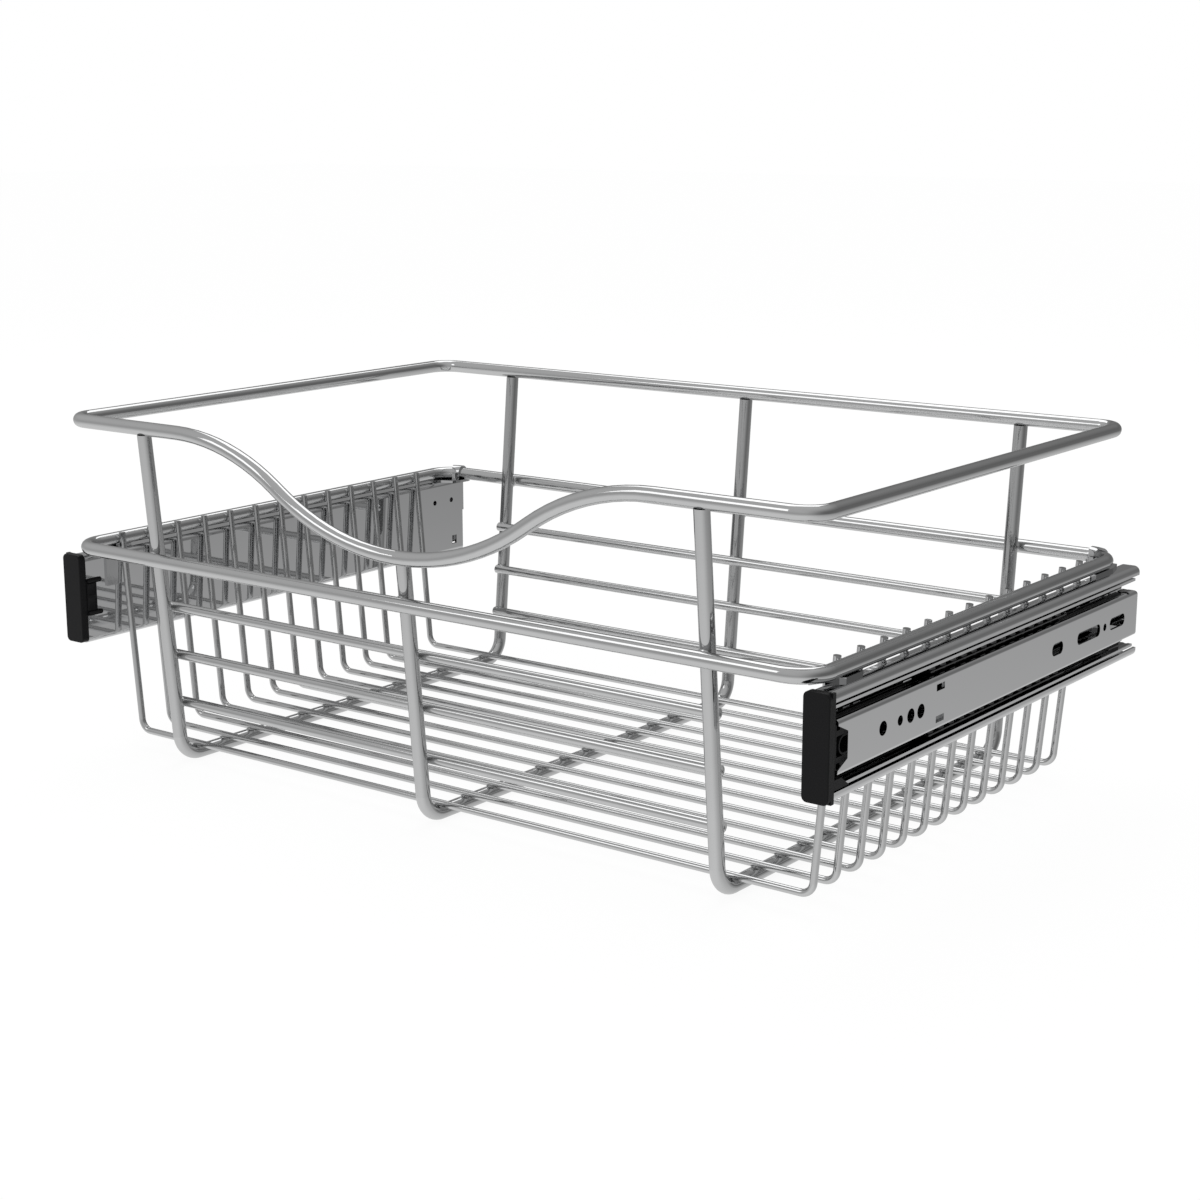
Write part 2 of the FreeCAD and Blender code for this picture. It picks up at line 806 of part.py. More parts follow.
# Pieces of the finished basket, by name
def all_pieces():
    rim = top_rim()
    lower_rim = middle_rim()
    frames = {
        "left": frame_wire(-frame_spacing, top_rim_height, rim),
        "centre": frame_wire(0, dip_height, rim),
        "right": frame_wire(frame_spacing, top_rim_height, rim),
    }
    frame_list = list(frames.values())
    pieces = {"top_rim": rim, "middle_rim": lower_rim}
    for name, wire in frames.items():
        pieces["frame_wire_" + name] = wire
    for number, name in enumerate(long_wire_names):
        height = middle_rim_height - long_wire_below_rim - number * long_wire_pitch
        pieces["front_wire_" + name] = long_wire(height, -1).cut(frame_list)
        pieces["back_wire_" + name] = long_wire(height, 1).cut(frame_list)
    for number in range(cross_wire_count):
        pieces["cross_wire_%02d" % (number + 1)] = cross_wire(number).cut(frame_list + [lower_rim])
    handed = {
        "basket_member": basket_member(),
        "middle_member": middle_member(),
        "cabinet_member": cabinet_member(),
        "outer_cage": outer_cage(),
        "outer_balls": outer_balls(),
        "inner_cage": inner_cage(),
        "inner_balls": inner_balls(),
        "end_cap": end_cap(),
        "front_stop": front_stop(),
        "front_bumper": front_bumper(),
        "front_bracket": front_bracket(),
        "rear_bracket": rear_bracket(),
    }
    for name, shape in handed.items():
        pieces[name + "_right"] = shape
        pieces[name + "_left"] = mirrored(shape)
    return pieces


os.makedirs("parts", exist_ok=True)
for name, shape in all_pieces().items():
    shape.exportStep(os.path.join("parts", name + ".step"))
    box = shape.BoundBox
    print(name, len(shape.Solids), shape.isValid(), round(shape.Volume, 1),
          [round(value, 1) for value in (box.XMin, box.YMin, box.ZMin, box.XMax, box.YMax, box.ZMax)])
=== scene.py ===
import random

import bpy
from mathutils import Matrix, Vector


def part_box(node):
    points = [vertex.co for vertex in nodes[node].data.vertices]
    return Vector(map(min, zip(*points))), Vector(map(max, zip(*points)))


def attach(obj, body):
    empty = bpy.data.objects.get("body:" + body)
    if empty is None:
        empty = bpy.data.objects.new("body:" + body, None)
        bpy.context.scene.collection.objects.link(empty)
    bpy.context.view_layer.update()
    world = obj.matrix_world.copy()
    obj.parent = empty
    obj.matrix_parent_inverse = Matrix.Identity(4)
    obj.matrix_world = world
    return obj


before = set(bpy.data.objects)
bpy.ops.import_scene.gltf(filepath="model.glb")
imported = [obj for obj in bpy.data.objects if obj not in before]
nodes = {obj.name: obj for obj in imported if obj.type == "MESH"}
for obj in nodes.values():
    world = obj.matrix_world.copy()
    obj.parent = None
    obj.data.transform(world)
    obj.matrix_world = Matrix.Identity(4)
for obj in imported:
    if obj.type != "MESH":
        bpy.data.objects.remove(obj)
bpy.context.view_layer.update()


# Basket wires
# Drawn steel wire in three thicknesses, bent to shape, welded where it crosses and
# then plated all over, so the rims, frame wires and thin wires share one bright finish.
WIRE_COLOUR = (0.5, 0.503, 0.505, 1)
WIRE_ROUGHNESS = 0.06
WIRE_NODES = [name for name in nodes if "wire" in name or "rim" in name]
CLOUD_DETAIL = 3
PIT_DETAIL = 2
PIT_BUMP = 0.0001


def link(tree, source, output, target, socket):
    """Join the output of one node to a socket of another."""
    tree.links.new(source.outputs[output], target.inputs[socket])


def fill(node, settings):
    """Set the free sockets of a node by their names."""
    for socket, value in settings.items():
        node.inputs[socket].default_value = value


def sum_of(tree, operation, first, second):
    """One sum, whose two values are each a number or a (node, output) pair, and so is its result."""
    node = tree.nodes.new("ShaderNodeMath")
    node.operation = operation
    for socket, value in enumerate((first, second)):
        if isinstance(value, tuple):
            link(tree, *value, node, socket)
        else:
            node.inputs[socket].default_value = value
    return node, "Value"


def plating_group():
    """Node group: soft clouding and fine pits of a plated surface, as a colour, roughness and bump."""
    tree = bpy.data.node_groups.new("plating", "ShaderNodeTree")
    sockets = tree.interface
    sockets.new_socket("Colour", in_out="INPUT", socket_type="NodeSocketColor")
    for name in ("Roughness", "Cloud Size", "Cloud Depth", "Pit Size", "Pit Depth"):
        sockets.new_socket(name, in_out="INPUT", socket_type="NodeSocketFloat")
    sockets.new_socket("Stretch", in_out="INPUT", socket_type="NodeSocketVector")
    sockets.new_socket("Colour", in_out="OUTPUT", socket_type="NodeSocketColor")
    sockets.new_socket("Roughness", in_out="OUTPUT", socket_type="NodeSocketFloat")
    sockets.new_socket("Height", in_out="OUTPUT", socket_type="NodeSocketFloat")
    given = tree.nodes.new("NodeGroupInput")
    result = tree.nodes.new("NodeGroupOutput")
    place = tree.nodes.new("ShaderNodeTexCoord")
    stretched = tree.nodes.new("ShaderNodeVectorMath")
    stretched.operation = "MULTIPLY"
    link(tree, place, "Object", stretched, 0)
    link(tree, given, "Stretch", stretched, 1)
    clouds = tree.nodes.new("ShaderNodeTexNoise")
    clouds.inputs["Detail"].default_value = CLOUD_DETAIL
    link(tree, stretched, "Vector", clouds, "Vector")
    link(tree, given, "Cloud Size", clouds, "Scale")
    pits = tree.nodes.new("ShaderNodeTexNoise")
    pits.inputs["Detail"].default_value = PIT_DETAIL
    link(tree, stretched, "Vector", pits, "Vector")
    link(tree, given, "Pit Size", pits, "Scale")
    swing = sum_of(tree, "SUBTRACT", (clouds, "Fac"), 0.5)
    clouding = sum_of(tree, "MULTIPLY", swing, (given, "Cloud Depth"))
    tinted = tree.nodes.new("ShaderNodeVectorMath")
    tinted.operation = "SCALE"
    link(tree, given, "Colour", tinted, 0)
    link(tree, *sum_of(tree, "ADD", 1, clouding), tinted, "Scale")
    link(tree, tinted, "Vector", result, "Colour")
    rough = sum_of(tree, "SUBTRACT", (given, "Roughness"), clouding)
    rough[0].use_clamp = True
    link(tree, *rough, result, "Roughness")
    height = sum_of(tree, "MULTIPLY", (pits, "Fac"), (given, "Pit Depth"))
    link(tree, *height, result, "Height")
    return tree


plating = plating_group()


def plated_material(
    name, colour, roughness, cloud_size, cloud_depth, pit_size, pit_depth, stretch=(1, 1, 1)
):
    """A metal whose colour, roughness and bump come from the plating group."""
    material = bpy.data.materials.new(name)
    material.use_nodes = True
    tree = material.node_tree
    shader = tree.nodes["Principled BSDF"]
    shader.inputs["Metallic"].default_value = 1
    coat = tree.nodes.new("ShaderNodeGroup")
    coat.node_tree = plating
    fill(coat, {"Colour": colour, "Roughness": roughness, "Stretch": stretch})
    fill(coat, {"Cloud Size": cloud_size, "Cloud Depth": cloud_depth})
    fill(coat, {"Pit Size": pit_size, "Pit Depth": pit_depth})
    bump = tree.nodes.new("ShaderNodeBump")
    bump.inputs["Distance"].default_value = PIT_BUMP
    link(tree, coat, "Colour", shader, "Base Color")
    link(tree, coat, "Roughness", shader, "Roughness")
    link(tree, coat, "Height", bump, "Height")
    link(tree, bump, "Normal", shader, "Normal")
    return material


def dress(names, material):
    """Put one material on each of the named nodes."""
    for name in names:
        slots = nodes[name].data.materials
        slots.clear()
        slots.append(material)


wire_plate = plated_material(
    "wire_plate", WIRE_COLOUR, WIRE_ROUGHNESS, cloud_size=60, cloud_depth=0.06, pit_size=900, pit_depth=0.08
)
dress(WIRE_NODES, wire_plate)


# Weld beads
# Where two wires meet, the weld squeezes out a low bead of steel that is plated with the rest.
# One bead is pressed out of a ball and copied to every crossing, each a little different.
BEAD_RADIUS = 0.003
BEAD_HALF_HEIGHT = 0.001
BEAD_SPREAD = 1.12
BEAD_SINK = 0.0002
BEAD_SIZE_SWING = 0.1
THIN_STRETCH = (0.78, 0.5, 0.8)
LONG_STRETCH = (0.95, 0.8, 0.9)
RIM_STRETCH = (1.1, 1.1, 1.15)
bpy.ops.object.select_all(action="DESELECT")
bpy.ops.mesh.primitive_uv_sphere_add(segments=10, ring_count=6, radius=BEAD_RADIUS, location=(0, 0, 0))
bead = bpy.context.object
bpy.ops.object.mode_set(mode="EDIT")
bpy.ops.mesh.select_all(action="SELECT")
bpy.ops.transform.resize(value=(1, 1, BEAD_HALF_HEIGHT / BEAD_RADIUS))
bpy.ops.mesh.select_all(action="DESELECT")
bpy.ops.object.mode_set(mode="OBJECT")
for vertex in bead.data.vertices:
    vertex.select = abs(vertex.co.z) < BEAD_HALF_HEIGHT / 10
bpy.ops.object.mode_set(mode="EDIT")
bpy.ops.transform.resize(value=(BEAD_SPREAD, BEAD_SPREAD, 1))
bpy.ops.object.mode_set(mode="OBJECT")
bpy.ops.object.shade_smooth()
bead.data.materials.append(wire_plate)
bead_chance = random.Random(5)


def add_bead(name, spot, along, outward, stretch):
    """A copy of the bead with its long side along one wire and its flat side facing outward."""
    copy = bpy.data.objects.new(name, bead.data.copy())
    bpy.context.scene.collection.objects.link(copy)
    swings = [bead_chance.uniform(1 - BEAD_SIZE_SWING, 1 + BEAD_SIZE_SWING) for part in stretch]
    sizes = [part * swing for part, swing in zip(stretch, swings)]
    long_side = Vector(along)
    flat_side = Vector(outward)
    turn = Matrix((long_side, flat_side.cross(long_side), flat_side)).transposed().to_4x4()
    copy.data.transform(Matrix.Translation(spot) @ turn @ Matrix.Diagonal(sizes + [1]))
    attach(copy, "basket")


def box_middle(name):
    """The x, y and z of the middle of a node's box."""
    low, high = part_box(name)
    return [(start + end) / 2 for start, end in zip(low, high)]


cross_wires = sorted(name for name in nodes if name.startswith("cross_wire"))
frame_places = [(side, box_middle("frame_wire_" + side)[0]) for side in ("left", "centre", "right")]
for wire in cross_wires:
    y = box_middle(wire)[1]
    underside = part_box(wire)[0][2]
    for side, x in frame_places:
        name = "floor_weld_" + wire[-2:] + "_" + side
        add_bead(name, (x, y, underside + BEAD_SINK), (1, 0, 0), (0, 0, 1), THIN_STRETCH)
for face, outward in (("front", -1), ("back", 1)):
    for row in ("upper", "middle", "lower"):
        wire = face + "_wire_" + row
        low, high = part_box(wire)
        y = (low[1] if outward < 0 else high[1]) - outward * BEAD_HALF_HEIGHT / 2
        for side, x in frame_places:
            name = face + "_weld_" + row + "_" + side
            add_bead(name, (x, y, box_middle(wire)[2]), (1, 0, 0), (0, outward, 0), LONG_STRETCH)
rim_low, rim_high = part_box("middle_rim")
rim_thickness = rim_high[2] - rim_low[2]
rim_level = box_middle("middle_rim")[2]
for wire in cross_wires:
    y = box_middle(wire)[1]
    for side, outward in (("left", -1), ("right", 1)):
        rim_side = rim_low[0] if outward < 0 else rim_high[0]
        x = rim_side - outward * (rim_thickness - BEAD_SINK)
        name = "side_weld_" + wire[-2:] + "_" + side
        add_bead(name, (x, y, rim_level), (0, 0, 1), (outward, 0, 0), THIN_STRETCH)
for face, outward in (("front", -1), ("back", 1)):
    rim_face = rim_low[1] if outward < 0 else rim_high[1]
    y = rim_face - outward * rim_thickness
    for side, x in frame_places:
        name = face + "_rim_weld_" + side
        add_bead(name, (x, y, rim_level), (1, 0, 0), (0, outward, 0), RIM_STRETCH)
bpy.data.objects.remove(bead)


# Slide members
# Cold-rolled steel strip, roll-formed into three nested channels and zinc plated. The flat
# webs reflect like a mirror. Inside the channels the colour is darkened as painted shade, fully
# along the ball tracks and partly on the rest. Each channel's painted shade starts at its own
# distance from the basket's middle, and its tracks lie at their own height.
SLIDE_COLOUR = (0.6, 0.603, 0.608, 1)
SLIDE_ROUGHNESS = 0.02
TRACK_SHADE_COLOUR = (0.1, 0.1, 0.102, 1)
TRACK_SHADE_END = 0.2262
TRACK_SHADE_HALF_HEIGHT = 0.0217
CHANNEL_SHADE_SHARE = 0.3
TRACKS = (
    ("basket_member", 0.2172, 0.0165),
    ("middle_member", 0.2187, 0.0115),
    ("cabinet_member", 0.2172, 0.011),
)
slide_low, slide_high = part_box("basket_member_right")
slide_level = (slide_low[2] + slide_high[2]) / 2


def track_shade_group():
    """Node group: painted shade that darkens a colour along the ball tracks, and a little less in the rest
    of the channel.
    """
    tree = bpy.data.node_groups.new("track_painted_shade", "ShaderNodeTree")
    sockets = tree.interface
    sockets.new_socket("Colour", in_out="INPUT", socket_type="NodeSocketColor")
    sockets.new_socket("Shade Colour", in_out="INPUT", socket_type="NodeSocketColor")
    for name in ("Start", "End", "Level", "Track", "Half Height", "Channel Shade"):
        sockets.new_socket(name, in_out="INPUT", socket_type="NodeSocketFloat")
    sockets.new_socket("Colour", in_out="OUTPUT", socket_type="NodeSocketColor")
    given = tree.nodes.new("NodeGroupInput")
    result = tree.nodes.new("NodeGroupOutput")
    place = tree.nodes.new("ShaderNodeTexCoord")
    parts = tree.nodes.new("ShaderNodeSeparateXYZ")
    link(tree, place, "Object", parts, "Vector")
    across = sum_of(tree, "ABSOLUTE", (parts, "X"), 0)
    behind = sum_of(tree, "GREATER_THAN", across, (given, "Start"))
    before = sum_of(tree, "LESS_THAN", across, (given, "End"))
    offset = sum_of(tree, "SUBTRACT", (parts, "Z"), (given, "Level"))
    rise = sum_of(tree, "ABSOLUTE", offset, 0)
    between = sum_of(tree, "LESS_THAN", rise, (given, "Half Height"))
    inside = sum_of(tree, "MULTIPLY", sum_of(tree, "MULTIPLY", behind, before), between)
    # Full painted shade on the ball tracks, and part of it on the rest of the channel.
    on_track = sum_of(tree, "GREATER_THAN", rise, (given, "Track"))
    thickness = sum_of(tree, "MAXIMUM", on_track, (given, "Channel Shade"))
    shaded = tree.nodes.new("ShaderNodeMix")
    shaded.data_type = "RGBA"
    link(tree, *sum_of(tree, "MULTIPLY", inside, thickness), shaded, "Factor")
    link(tree, given, "Colour", shaded, "A")
    link(tree, given, "Shade Colour", shaded, "B")
    link(tree, shaded, "Result", result, "Colour")
    return tree


track_painted_shade = track_shade_group()
for kind, start, track in TRACKS:
    zinc = plated_material(
        kind + "_zinc", SLIDE_COLOUR, SLIDE_ROUGHNESS,
        cloud_size=90, cloud_depth=0.02, pit_size=500, pit_depth=0.006, stretch=(1, 0.04, 1),
    )
    tree = zinc.node_tree
    shader = tree.nodes["Principled BSDF"]
    coat = shader.inputs["Base Color"].links[0].from_node
    # Painted shade over the zinc colour inside the channel.
    shade_node = tree.nodes.new("ShaderNodeGroup")
    shade_node.node_tree = track_painted_shade
    fill(shade_node, {"Shade Colour": TRACK_SHADE_COLOUR, "Channel Shade": CHANNEL_SHADE_SHARE})
    fill(shade_node, {"Start": start, "End": TRACK_SHADE_END})
    fill(shade_node, {"Level": slide_level, "Track": track, "Half Height": TRACK_SHADE_HALF_HEIGHT})
    link(tree, coat, "Colour", shade_node, "Colour")
    link(tree, shade_node, "Colour", shader, "Base Color")
    dress([name for name in nodes if kind in name], zinc)


# Lance tongues
# Under the lower small window in each cabinet member the cut sheet is left on at its lower
# edge and bent in, as a sloping floor behind the window. It is dull, and it is darker than the web as
# painted shade of the recess behind the window.
LANCE_SHADED_COLOUR = (0.27, 0.272, 0.275, 1)
LANCE_ROUGHNESS = 0.3
LANCE_Y = -0.0584
LANCE_LENGTH = 0.0072
LANCE_HEIGHT = 0.0034
LANCE_SHEET = 0.0005
LANCE_RISE = -0.007
LANCE_LEAN = 0.0012
LANCE_DEPTH = 0.0004
CABINET_FACE = 0.2286
lance_zinc = plated_material(
    "lance_zinc", LANCE_SHADED_COLOUR, LANCE_ROUGHNESS, cloud_size=200, cloud_depth=0.1, pit_size=900, pit_depth=0.2
)
for side, outward in (("right", 1), ("left", -1)):
    bpy.ops.object.select_all(action="DESELECT")
    bpy.ops.mesh.primitive_cube_add(
        size=1,
        location=(outward * (CABINET_FACE - LANCE_DEPTH), LANCE_Y, slide_level + LANCE_RISE),
        scale=(LANCE_SHEET, LANCE_LENGTH, LANCE_HEIGHT),
    )
    tongue = bpy.context.object
    tongue.name = "lance_tongue_" + side
    bpy.ops.object.transform_apply(location=True, rotation=False, scale=True)
    for vertex in tongue.data.vertices:
        vertex.select = vertex.co.z > slide_level + LANCE_RISE
    bpy.ops.object.mode_set(mode="EDIT")
    bpy.ops.mesh.select_mode(type="VERT")
    bpy.ops.transform.translate(value=(-outward * LANCE_LEAN, 0, 0))
    bpy.ops.mesh.select_all(action="SELECT")
    bpy.ops.mesh.bevel(offset=LANCE_SHEET / 5, segments=1)
    bpy.ops.object.mode_set(mode="OBJECT")
    tongue.data.materials.append(lance_zinc)
    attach(tongue, "cabinet_side")


# Ball rows
# Hardened and polished steel balls, held apart by bent cages of thin plain steel strip.
# Both are coloured dark as painted shade of the tracks they run in.
BALL_SHADED_COLOUR = (0.12, 0.121, 0.123, 1)
BALL_ROUGHNESS = 0.2
CAGE_SHADED_COLOUR = (0.06, 0.06, 0.061, 1)
CAGE_ROUGHNESS = 0.35
ball_steel = plated_material(
    "ball_steel", BALL_SHADED_COLOUR, BALL_ROUGHNESS, cloud_size=200, cloud_depth=0.04, pit_size=1500, pit_depth=0.1
)
cage_steel = plated_material(
    "cage_steel", CAGE_SHADED_COLOUR, CAGE_ROUGHNESS,
    cloud_size=150, cloud_depth=0.1, pit_size=900, pit_depth=0.2, stretch=(1, 0.1, 1),
)
dress([name for name in nodes if "balls" in name], ball_steel)
dress([name for name in nodes if "cage" in name], cage_steel)


# Brackets
# Small pieces of bent steel sheet, plated with the basket, that tie the middle rim to
# the slides: a tab at the front of each slide and a hook at the back.
BRACKET_COLOUR = (0.46, 0.463, 0.467, 1)
BRACKET_ROUGHNESS = 0.06
SHEARED_EDGE = 0.00025
bracket_plate = plated_material(
    "bracket_plate", BRACKET_COLOUR, BRACKET_ROUGHNESS,
    cloud_size=120, cloud_depth=0.06, pit_size=900, pit_depth=0.1,
)
bracket_names = [name for name in nodes if "bracket" in name]
dress(bracket_names, bracket_plate)
for name in bracket_names:
    soft_edges = nodes[name].modifiers.new("sheared_edges", "BEVEL")
    soft_edges.width = SHEARED_EDGE
    soft_edges.segments = 2


# End caps, stops and bumpers
# Black moulded plastic with the faint even grain of a spark-eroded mould, pushed into
# the ends of the channels or clipped over them.
PLASTIC_COLOUR = (0.005, 0.005, 0.0055, 1)
PLASTIC_GRAIN_COLOUR = (0.0075, 0.0075, 0.00825, 1)
PLASTIC_DULLEST = 0.48
PLASTIC_SHINIEST = 0.36
PLASTIC_GLOSS = 0.13
GRAIN_SIZE = 1800
GRAIN_DEPTH = 0.0002
GRAIN_STRENGTH = 0.5
plastic = bpy.data.materials.new("black_plastic")
plastic.use_nodes = True
tree = plastic.node_tree
shader = tree.nodes["Principled BSDF"]
shader.inputs["Specular IOR Level"].default_value = PLASTIC_GLOSS
place = tree.nodes.new("ShaderNodeTexCoord")
grain = tree.nodes.new("ShaderNodeTexNoise")
grain.inputs["Scale"].default_value = GRAIN_SIZE
shine = tree.nodes.new("ShaderNodeMapRange")
fill(shine, {"To Min": PLASTIC_SHINIEST, "To Max": PLASTIC_DULLEST})
tone = tree.nodes.new("ShaderNodeMix")
tone.data_type = "RGBA"
fill(tone, {"A": PLASTIC_COLOUR, "B": PLASTIC_GRAIN_COLOUR})
bump = tree.nodes.new("ShaderNodeBump")
fill(bump, {"Distance": GRAIN_DEPTH, "Strength": GRAIN_STRENGTH})
link(tree, place, "Object", grain, "Vector")
link(tree, grain, "Fac", shine, "Value")
link(tree, grain, "Fac", tone, "Factor")
link(tree, tone, "Result", shader, "Base Color")
link(tree, shine, "Result", shader, "Roughness")
link(tree, grain, "Fac", bump, "Height")
link(tree, bump, "Normal", shader, "Normal")
dress([name for name in nodes if "cap" in name or "stop" in name or "bumper" in name], plastic)


# Clip bars of the end caps
# Black plastic, moulded in one with each cap: two round-ended bars that stand proud of its
# tongue, and between them a thin pad with two small square pockets. Heights are from the
# middle of the slide, and lengths from its front end.
BAR_HEIGHT = 0.0024
BAR_STANDS = 0.0009
BAR_SINK = 0.0002
BAR_OVERHANG = 0.0002
BAR_ROUNDING = 0.45 * BAR_HEIGHT
PAD_STANDS = 0.0003
POCKET_RIM = 0.0009
EDGE_ROUNDING = 0.0002
SMOOTH_ANGLE = 0.6
TONGUE_TOP = 0.0108
TONGUE_BOTTOM = -0.0085
TONGUE_FLAT = 0.0064
TONGUE_TIP = 0.0093
web_face = slide_low[0]
web_front = slide_low[1]


def bar(name, level):
    """A bar along the slide, with its free end rounded."""
    length = TONGUE_TIP + BAR_OVERHANG
    bpy.ops.object.select_all(action="DESELECT")
    bpy.ops.mesh.primitive_cube_add(
        size=1,
        location=(web_face - (BAR_STANDS - BAR_SINK) / 2, web_front + length / 2, slide_level + level),
        scale=(BAR_STANDS + BAR_SINK, length, BAR_HEIGHT),
    )
    piece = bpy.context.object
    piece.name = name
    bpy.ops.object.transform_apply(location=True, rotation=False, scale=True)
    for edge in piece.data.edges:
        ends = [piece.data.vertices[number].co for number in edge.vertices]
        across = abs(ends[0].x - ends[1].x) > BAR_STANDS / 2
        edge.select = across and min(ends[0].y, ends[1].y) > web_front + length / 2
    bpy.ops.object.mode_set(mode="EDIT")
    bpy.ops.mesh.select_mode(type="EDGE")
    bpy.ops.mesh.bevel(offset=BAR_ROUNDING, segments=5)
    bpy.ops.mesh.select_all(action="SELECT")
    bpy.ops.mesh.normals_make_consistent(inside=False)
    bpy.ops.object.mode_set(mode="OBJECT")
    return piece


def pad():
    """The pad between the bars, with two pockets sunk into it."""
    top = TONGUE_TOP - BAR_HEIGHT
    bottom = TONGUE_BOTTOM + BAR_HEIGHT
    level = slide_level + (top + bottom) / 2
    bpy.ops.object.select_all(action="DESELECT")
    bpy.ops.mesh.primitive_cube_add(
        size=1,
        location=(web_face - (PAD_STANDS - BAR_SINK) / 2, web_front + TONGUE_FLAT / 2, level),
        scale=(PAD_STANDS + BAR_SINK, TONGUE_FLAT, top - bottom),
    )
    piece = bpy.context.object
    bpy.ops.object.transform_apply(location=True, rotation=False, scale=True)
    bpy.ops.object.mode_set(mode="EDIT")
    bpy.ops.mesh.select_all(action="SELECT")
    bpy.ops.mesh.bisect(plane_co=(0, 0, level), plane_no=(0, 0, 1), use_fill=False)
    bpy.ops.mesh.select_all(action="DESELECT")
    bpy.ops.object.mode_set(mode="OBJECT")
    for face in piece.data.polygons:
        face.select = face.normal.x < -0.9
    bpy.ops.object.mode_set(mode="EDIT")
    bpy.ops.mesh.select_mode(type="FACE")
    bpy.ops.mesh.inset(thickness=POCKET_RIM, depth=0, use_individual=True)
    bpy.ops.mesh.extrude_region_move(TRANSFORM_OT_translate={"value": (PAD_STANDS, 0, 0)})
    bpy.ops.object.mode_set(mode="OBJECT")
    return piece


pieces = [
    pad(),
    bar("upper_bar", TONGUE_TOP - BAR_HEIGHT / 2),
    bar("lower_bar", TONGUE_BOTTOM + BAR_HEIGHT / 2),
]
bpy.ops.object.select_all(action="DESELECT")
for piece in pieces:
    piece.select_set(True)
bpy.context.view_layer.objects.active = pieces[0]
bpy.ops.object.join()
clip_right = bpy.context.object
clip_right.name = "cap_clip_right"
rounding = clip_right.modifiers.new("edges", "BEVEL")
rounding.width = EDGE_ROUNDING
rounding.segments = 2
bpy.ops.object.modifier_apply(modifier=rounding.name)
bpy.ops.object.shade_smooth_by_angle(angle=SMOOTH_ANGLE)
clip_right.data.materials.clear()
clip_right.data.materials.append(plastic)
clip_left = bpy.data.objects.new("cap_clip_left", clip_right.data.copy())
bpy.context.scene.collection.objects.link(clip_left)
clip_left.data.transform(Matrix.Diagonal((-1, 1, 1, 1)))
clip_left.data.flip_normals()
for clip in (clip_right, clip_left):
    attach(clip, "basket")


# Floor and background
# A plain white sweep. It glows for the camera just enough to read as pure white, and still
# keeps the basket's soft shadow. Reflections look past it at the studio below.
FLOOR_COLOUR = (0.9, 0.9, 0.9, 1)
FLOOR_ROUGHNESS = 0.9
FLOOR_GLOW = 0.9
FLOOR_STRENGTH = 1.022
FLOOR_SIZE = 16.0
bpy.ops.object.select_all(action="DESELECT")
bpy.ops.mesh.primitive_plane_add(size=FLOOR_SIZE, location=(0, 0, 0))
floor = bpy.context.object
floor.name = "floor"
floor.visible_glossy = False
floor_paint = bpy.data.materials.new("floor_paint")
floor_paint.use_nodes = True
tree = floor_paint.node_tree
matt = tree.nodes["Principled BSDF"]
fill(matt, {"Base Color": FLOOR_COLOUR, "Roughness": FLOOR_ROUGHNESS})
glow = tree.nodes.new("ShaderNodeEmission")
fill(glow, {"Color": (1, 1, 1, 1), "Strength": FLOOR_STRENGTH})
path = tree.nodes.new("ShaderNodeLightPath")
seen = sum_of(tree, "MAXIMUM", (path, "Is Camera Ray"), (path, "Is Transmission Ray"))
blend = tree.nodes.new("ShaderNodeMixShader")
link(tree, *sum_of(tree, "MULTIPLY", seen, FLOOR_GLOW), blend, 0)
link(tree, matt, "BSDF", blend, 1)
link(tree, glow, "Emission", blend, 2)
link(tree, blend, "Shader", tree.nodes["Material Output"], "Surface")
floor.data.materials.append(floor_paint)


# World
# White to the camera. Reflections see a studio with a white floor, light walls at the
# front and left, and darker ones at the right and back, which draw the wires' dark lines.
# Each tone is given with its height, from 0 straight down to 1 straight up.
LIGHT_WALLS = (
    (0.0, 1.0), (0.25, 1.0), (0.38, 0.78), (0.465, 0.58), (0.56, 0.56), (0.7, 0.66), (1.0, 0.7)
)
DARK_WALLS = (
    (0.0, 0.9), (0.15, 0.8), (0.29, 0.68), (0.38, 0.5), (0.465, 0.22), (0.63, 0.2), (0.74, 0.3), (1.0, 0.7)
)
LIGHT_SIDE = (-0.5, -0.87, 0)
WALLS_DARK_UNTIL = -0.6
WALLS_LIGHT_FROM = 0.7
AMBIENT = 0.85
world = bpy.data.worlds.new("studio")
bpy.context.scene.world = world
world.use_nodes = True
tree = world.node_tree
tree.nodes.clear()
place = tree.nodes.new("ShaderNodeTexCoord")
split = tree.nodes.new("ShaderNodeSeparateXYZ")
link(tree, place, "Generated", split, "Vector")
height = tree.nodes.new("ShaderNodeMapRange")
fill(height, {"From Min": -1, "From Max": 1})
link(tree, split, "Z", height, "Value")


def wall_tones(tones):
    """A ramp of greys by height."""
    ramp = tree.nodes.new("ShaderNodeValToRGB")
    steps = ramp.color_ramp.elements
    while len(steps) < len(tones):
        steps.new(0.5)
    for step, (level, tone) in zip(steps, tones):
        step.position = level
        step.color = (tone, tone, tone, 1)
    link(tree, height, "Result", ramp, "Fac")
    return ramp


towards = tree.nodes.new("ShaderNodeVectorMath")
towards.operation = "DOT_PRODUCT"
towards.inputs[1].default_value = LIGHT_SIDE
link(tree, place, "Generated", towards, 0)
lightness = tree.nodes.new("ShaderNodeMapRange")
lightness.interpolation_type = "SMOOTHSTEP"
fill(lightness, {"From Min": WALLS_DARK_UNTIL, "From Max": WALLS_LIGHT_FROM})
link(tree, towards, "Value", lightness, "Value")
walls = tree.nodes.new("ShaderNodeMix")
walls.data_type = "RGBA"
link(tree, lightness, "Result", walls, "Factor")
link(tree, wall_tones(DARK_WALLS), "Color", walls, "A")
link(tree, wall_tones(LIGHT_WALLS), "Color", walls, "B")
reflected = tree.nodes.new("ShaderNodeBackground")
link(tree, walls, "Result", reflected, "Color")
ambient = tree.nodes.new("ShaderNodeBackground")
fill(ambient, {"Color": (1, 1, 1, 1), "Strength": AMBIENT})
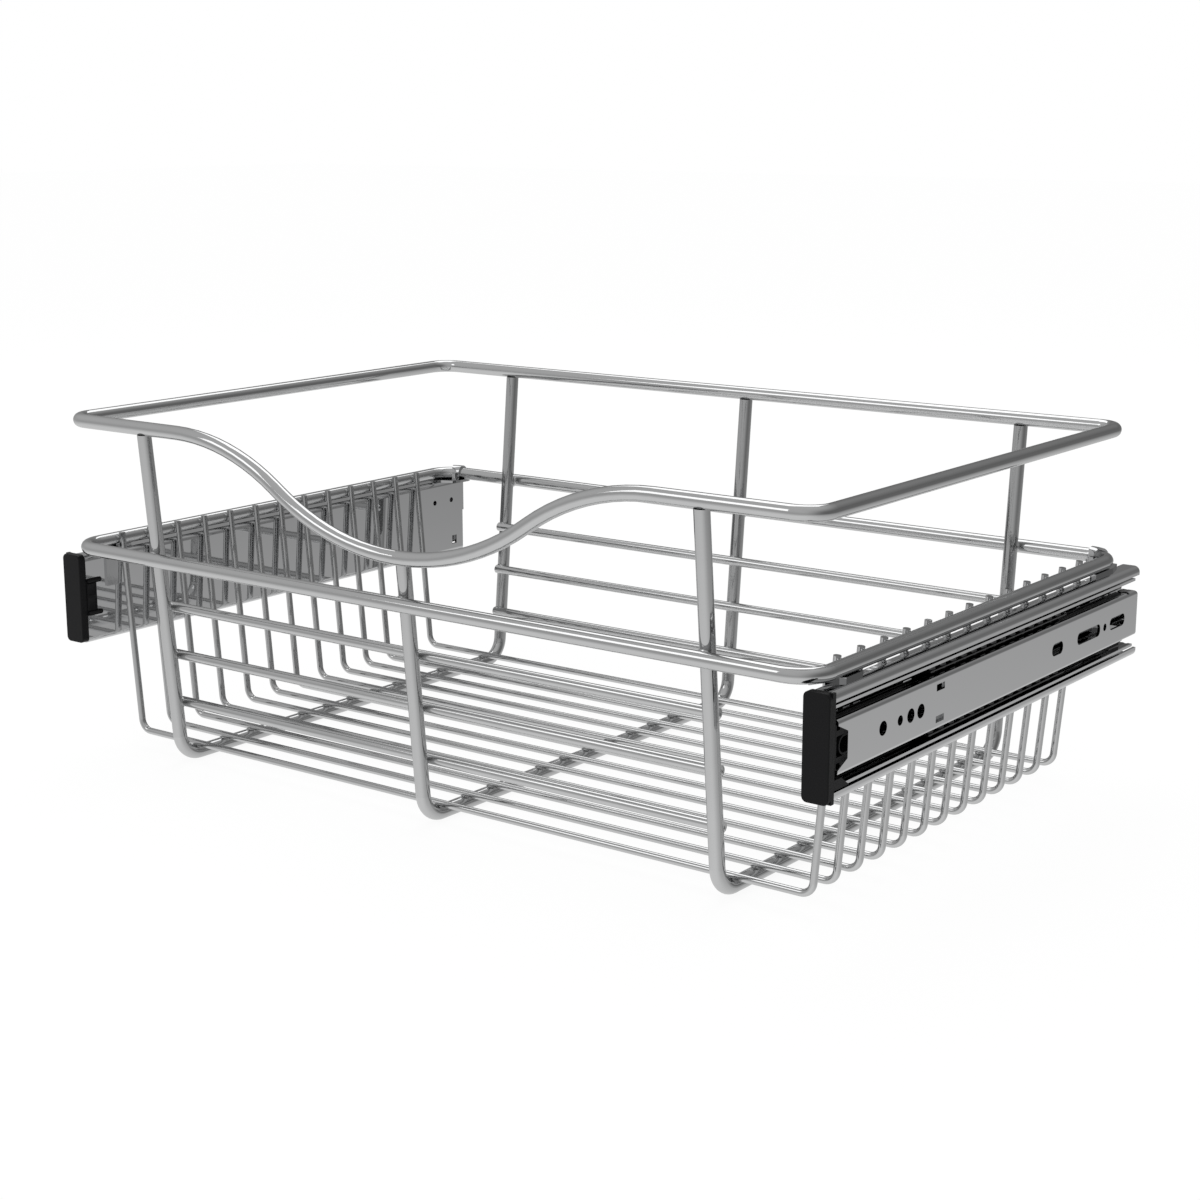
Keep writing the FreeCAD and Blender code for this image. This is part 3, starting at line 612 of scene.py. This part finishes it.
white = tree.nodes.new("ShaderNodeBackground")
white.inputs["Color"].default_value = (1, 1, 1, 1)
path = tree.nodes.new("ShaderNodeLightPath")
glossy_mix = tree.nodes.new("ShaderNodeMixShader")
link(tree, path, "Is Glossy Ray", glossy_mix, 0)
link(tree, ambient, "Background", glossy_mix, 1)
link(tree, reflected, "Background", glossy_mix, 2)
seen = sum_of(tree, "MAXIMUM", (path, "Is Camera Ray"), (path, "Is Transmission Ray"))
camera_mix = tree.nodes.new("ShaderNodeMixShader")
link(tree, *seen, camera_mix, 0)
link(tree, glossy_mix, "Shader", camera_mix, 1)
link(tree, white, "Background", camera_mix, 2)
output = tree.nodes.new("ShaderNodeOutputWorld")
link(tree, camera_mix, "Shader", output, "Surface")


# Lamps
# Two large soft boxes, hung over the back of the basket and stood at its front left. They
# draw the bright lines on the wires, and the world gives the rest of the light.
SOFT_BOXES = (
    ("overhead", (-0.62, 0.8, 1.6), 1.2, 7.0),
    ("front_left", (-1.1, -1.7, 1.3), 0.8, 2.8),
)
LAMP_AIM = (0, 0, 0.08)
for name, spot, size, power in SOFT_BOXES:
    lamp = bpy.data.lights.new(name, "AREA")
    lamp.size = size
    lamp.energy = power
    holder = bpy.data.objects.new(name, lamp)
    bpy.context.scene.collection.objects.link(holder)
    holder.location = spot
    aim = Vector(LAMP_AIM) - Vector(spot)
    holder.rotation_euler = aim.to_track_quat("-Z", "Y").to_euler()


# Camera
# A long lens on a stand, to the right of the front and a little above the top rim, where
# the photograph was taken from.
CAMERA_PLACE = (0.64504, -0.85820, 0.33108)
CAMERA_RIGHT = (0.801157, 0.598455, -0.000387)
CAMERA_FORWARD = (-0.583284, 0.780702, -0.224240)
LENS_MM = 64.965
SENSOR_MM = 36.0
NEAREST_SEEN = 0.01
eye = bpy.data.cameras.new("photo_view")
eye.lens = LENS_MM
eye.sensor_width = SENSOR_MM
eye.sensor_height = SENSOR_MM
eye.sensor_fit = "HORIZONTAL"
eye.clip_start = NEAREST_SEEN
camera = bpy.data.objects.new("photo_view", eye)
bpy.context.scene.collection.objects.link(camera)
right = Vector(CAMERA_RIGHT).normalized()
back = -Vector(CAMERA_FORWARD).normalized()
up = back.cross(right)
camera.matrix_world = Matrix.Translation(CAMERA_PLACE) @ Matrix((right, up, back)).transposed().to_4x4()
bpy.context.scene.camera = camera
bpy.context.scene.view_settings.view_transform = "Standard"
